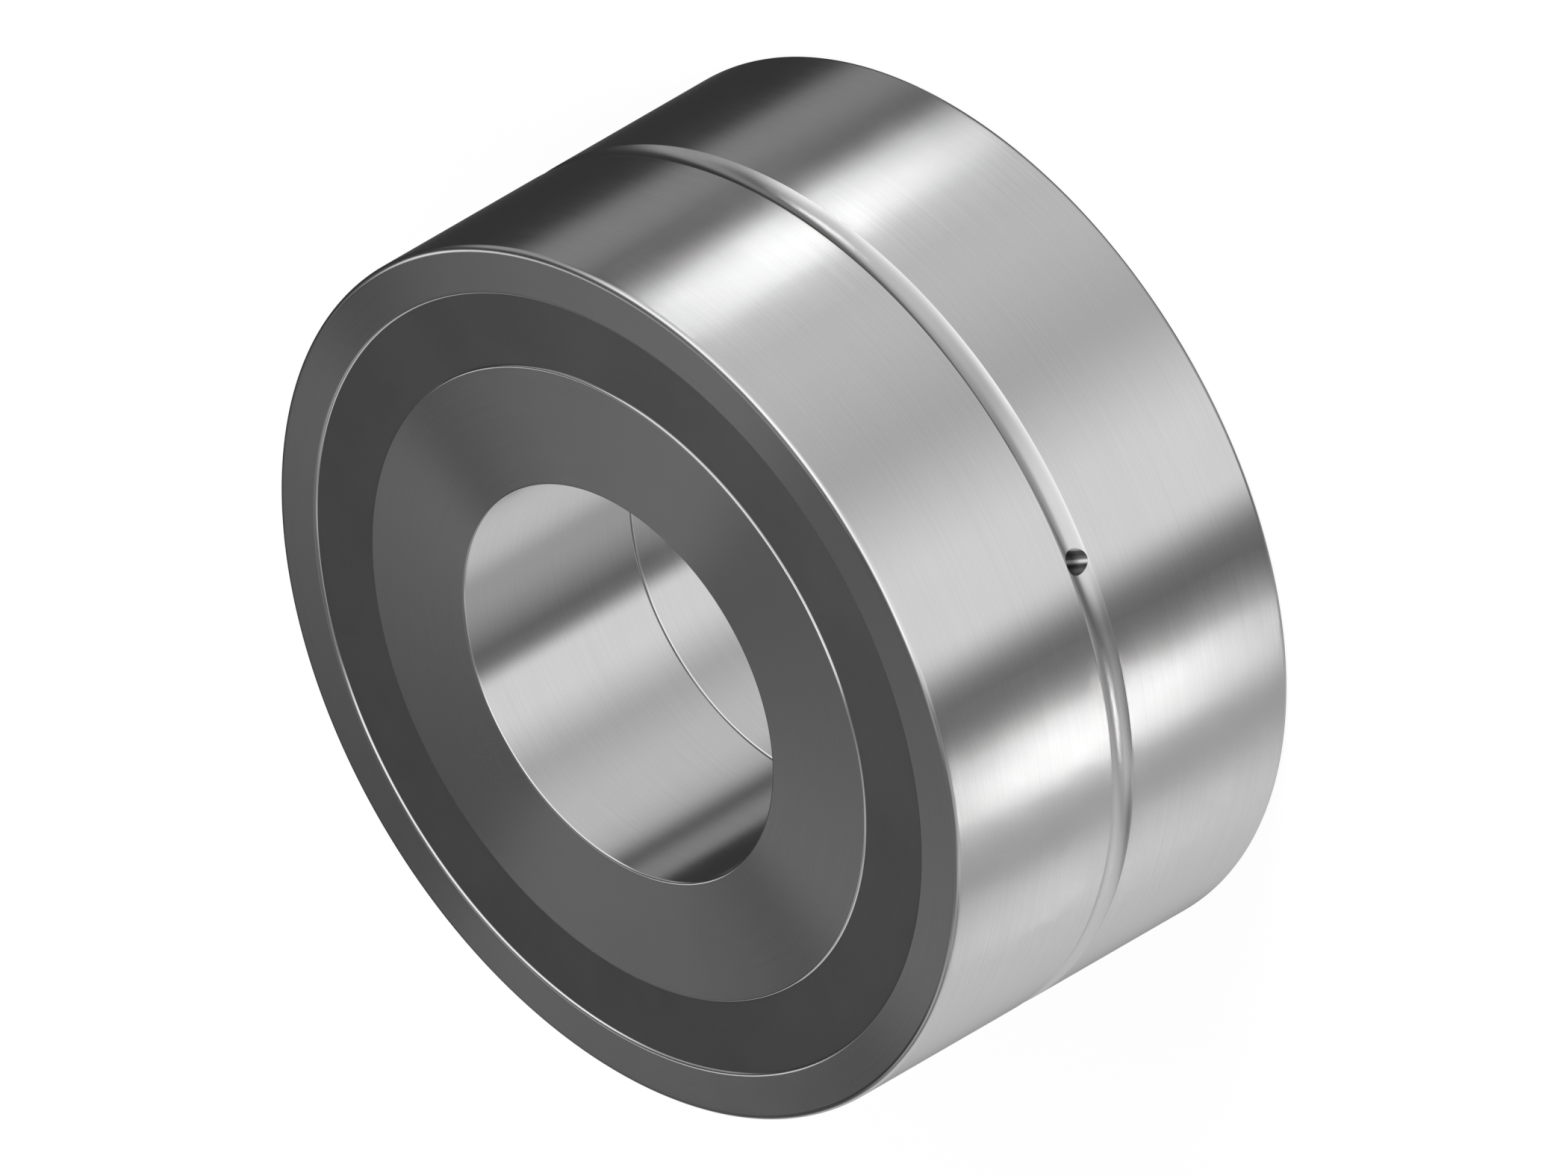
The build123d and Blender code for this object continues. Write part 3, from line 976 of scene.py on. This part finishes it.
def studio_floor(radius):
    """A round pale floor at the rear face's level. A glow for the camera alone makes it white where nothing
    shades it, and a shadow on it stays. It can't be seen from below."""
    turn = np.arange(FLOOR_SIDES) * 2 * math.pi / FLOOR_SIDES
    rim = np.column_stack((radius * np.cos(turn), radius * np.sin(turn), np.zeros(FLOOR_SIDES)))
    mesh = bpy.data.meshes.new("studio_floor")
    mesh.from_pydata(rim.tolist(), [], [list(range(FLOOR_SIDES))])
    floor = bpy.data.objects.new("studio_floor", mesh)
    bpy.context.scene.collection.objects.link(floor)
    material, tree, shader, place = new_material("Pale floor")
    patches = mottled(tree, place, FLOOR_PATCHES)
    pale = shades(tree, patches, (FLOOR_SHADE, FLOOR_SHADE, FLOOR_SHADE), dark=0.99, light=1.01)
    tree.links.new(pale, shader.inputs["Base Color"])
    shader.inputs["Roughness"].default_value = FLOOR_ROUGHNESS
    shader.inputs["Specular IOR Level"].default_value = 0.0
    path = add(tree, "ShaderNodeLightPath").outputs
    glow = add(tree, "ShaderNodeEmission", {"Color": (1, 1, 1, 1), "Strength": 1 - FLOOR_SHADE * MATT_LIGHT})
    seen = add(tree, "ShaderNodeMixShader", {0: path["Is Camera Ray"], 2: glow.outputs[0]})
    lit = add(tree, "ShaderNodeAddShader", {0: shader.outputs[0], 1: seen.outputs[0]})
    under = add(tree, "ShaderNodeBsdfTransparent")
    back = add(tree, "ShaderNodeNewGeometry").outputs["Backfacing"]
    whole = add(tree, "ShaderNodeMixShader", {0: back, 1: lit.outputs[0], 2: under.outputs[0]})
    output = next(made for made in tree.nodes if made.type == "OUTPUT_MATERIAL")
    tree.links.new(whole.outputs[0], output.inputs["Surface"])
    mesh.materials.append(material)
    floor.visible_glossy = False
    floor.visible_shadow = False


def level_way(azimuth):
    """The level direction at an azimuth."""
    return Vector((math.cos(azimuth), math.sin(azimuth), 0))


def lamp_at(name, place, facing, energy, width, height, lean=0.0, found=False):
    """An oval area lamp at a place, that shines along -facing and is turned by lean about it. Where found
    is true, rays that a surface throws also find it, which suits a broad dim lamp."""
    lamp = bpy.data.lights.new(name, "AREA")
    lamp.shape = "ELLIPSE"
    lamp.size, lamp.size_y = width, height
    lamp.energy = energy
    lamp.cycles.use_multiple_importance_sampling = found
    holder = bpy.data.objects.new(name, lamp)
    turned = facing.to_track_quat("Z", "Y").to_matrix().to_4x4() @ Matrix.Rotation(lean, 4, "Z")
    holder.matrix_world = Matrix.Translation(place) @ turned
    bpy.context.scene.collection.objects.link(holder)
    return holder


def softbox(name, azimuth, strength):
    """A small oval softbox close to the outside, whose light the steel throws back to the camera. It stands
    where the camera's line of sight, turned back by the outside a little in front of the groove, meets it.
    Its four lamps let its light fall off from the middle. The bearing itself keeps it out of the bore."""
    stage, sizes = bpy.context.scene.bearing_stage, bpy.context.scene.bearing_sizes
    level = math.cos(stage.camera_elevation)
    way = Vector((level * math.cos(azimuth), level * math.sin(azimuth), -math.sin(stage.camera_elevation)))
    around = level_way((azimuth + stage.camera_azimuth) / 2)
    spot = sizes.outer_radius * around + Vector((0, 0, MIDDLE + SOFTBOX_HEIGHT))
    place = spot + way * stage.softbox_distance
    lean = math.copysign(SOFTBOX_LEAN, azimuth - stage.camera_azimuth)
    for part, share, energy in SOFTBOX_PARTS:
        wide = stage.softbox_width * share
        lamp_at(f"{name}_{part}", place, way, energy * strength, wide, wide * SOFTBOX_SHAPE, lean)


def face_lamps():
    """Two lamps that make the front face a little brighter on one side: one over it for the matt seal
    alone, and a broad dim one behind it, where its steel throws the camera's line of sight."""
    face = Vector((0, 0, 2 * MIDDLE))
    place = OVERHEAD_OUT * level_way(OVERHEAD_AZIMUTH) + face + Vector((0, 0, OVERHEAD_UP))
    lamp = lamp_at("Overhead", place, place - face, OVERHEAD_ENERGY, OVERHEAD_WIDTH, OVERHEAD_WIDTH)
    lamp.visible_glossy = False
    place = BEHIND_OUT * level_way(BEHIND_AZIMUTH) + face + BEHIND_AWAY * MIRRORED_WAY
    lamp_at("Behind", place, MIRRORED_WAY, BEHIND_ENERGY, BEHIND_WIDTH, BEHIND_WIDTH, found=True)


def photo_camera(stage):
    """A parallel camera at the photograph's angle. Its line of sight comes from the camera's azimuth and
    elevation, and the roll about it lays the bearing's axis across the picture."""
    azimuth, elevation, roll = stage.camera_azimuth, stage.camera_elevation, stage.camera_roll
    level = math.cos(elevation)
    back = Vector((level * math.cos(azimuth), level * math.sin(azimuth), math.sin(elevation)))
    across = Vector((-math.sin(azimuth), math.cos(azimuth), 0))
    over = back.cross(across)
    right = math.cos(roll) * across + math.sin(roll) * over
    up = math.cos(roll) * over - math.sin(roll) * across
    data = bpy.data.cameras.new("Camera")
    data.type = "ORTHO"
    data.ortho_scale = stage.view_width
    data.clip_end = 10 * stage.camera_distance
    camera = bpy.data.objects.new("Camera", data)
    turned = Matrix((right, up, back)).transposed().to_4x4()
    place = back * stage.camera_distance + Vector((0, 0, MIDDLE))
    camera.matrix_world = Matrix.Translation(place) @ turned
    bpy.context.scene.collection.objects.link(camera)
    bpy.context.scene.camera = camera


class BEARING_OT_stage(bpy.types.Operator):
    """Sets up the studio: its world, floor, softboxes, lamps for the face, and camera"""

    bl_idname = "bearing.stage"
    bl_label = "Studio"

    def execute(self, context):
        scene, stage = context.scene, context.scene.bearing_stage
        scene.view_settings.view_transform = "Standard"
        scene.world = studio_world()
        studio_floor(stage.floor_radius)
        softbox("Softbox_right", stage.right_softbox, RIGHT_STRENGTH)
        softbox("Softbox_left", stage.left_softbox, LEFT_STRENGTH)
        softbox("Softbox_far_left", stage.left_softbox + FAR_LEFT_TURN, FAR_LEFT_STRENGTH)
        face_lamps()
        photo_camera(stage)
        return {"FINISHED"}


class BEARING_PT_sidebar(bpy.types.Panel):
    """The pieces of the bearing, one button each, over their sizes and colours"""

    bl_idname = "BEARING_PT_sidebar"
    bl_label = "Thrust bearing"
    bl_space_type = "VIEW_3D"
    bl_region_type = "UI"
    bl_category = "Bearing"

    def draw(self, context):
        for step in STEPS:
            self.layout.operator(step.bl_idname)
        scene = context.scene
        for group in (scene.bearing_sizes, scene.bearing_finishes, scene.bearing_stage):
            box = self.layout.box()
            for setting in group.__annotations__:
                box.prop(group, setting)


STEPS = (
    BEARING_OT_outer_ring,
    BEARING_OT_inner_rings,
    BEARING_OT_seals,
    BEARING_OT_balls,
    BEARING_OT_cages,
    BEARING_OT_stage,
)
GROUPS = (BearingSizes, BearingFinishes, BearingStage)


def register():
    """Adds the add-on's settings, operators and panel to Blender."""
    for made in (*GROUPS, *STEPS, BEARING_PT_sidebar):
        bpy.utils.register_class(made)
    bpy.types.Scene.bearing_sizes = bpy.props.PointerProperty(type=BearingSizes)
    bpy.types.Scene.bearing_finishes = bpy.props.PointerProperty(type=BearingFinishes)
    bpy.types.Scene.bearing_stage = bpy.props.PointerProperty(type=BearingStage)


def unregister():
    """Takes the add-on's settings, operators and panel away again."""
    del bpy.types.Scene.bearing_stage
    del bpy.types.Scene.bearing_finishes
    del bpy.types.Scene.bearing_sizes
    for made in reversed((*GROUPS, *STEPS, BEARING_PT_sidebar)):
        bpy.utils.unregister_class(made)


def main():
    """Builds the whole scene in order."""
    register()
    bpy.ops.bearing.outer_ring()
    bpy.ops.bearing.inner_rings()
    bpy.ops.bearing.seals()
    bpy.ops.bearing.balls()
    bpy.ops.bearing.cages()
    bpy.ops.bearing.stage()


if __name__ == "__main__":
    main()
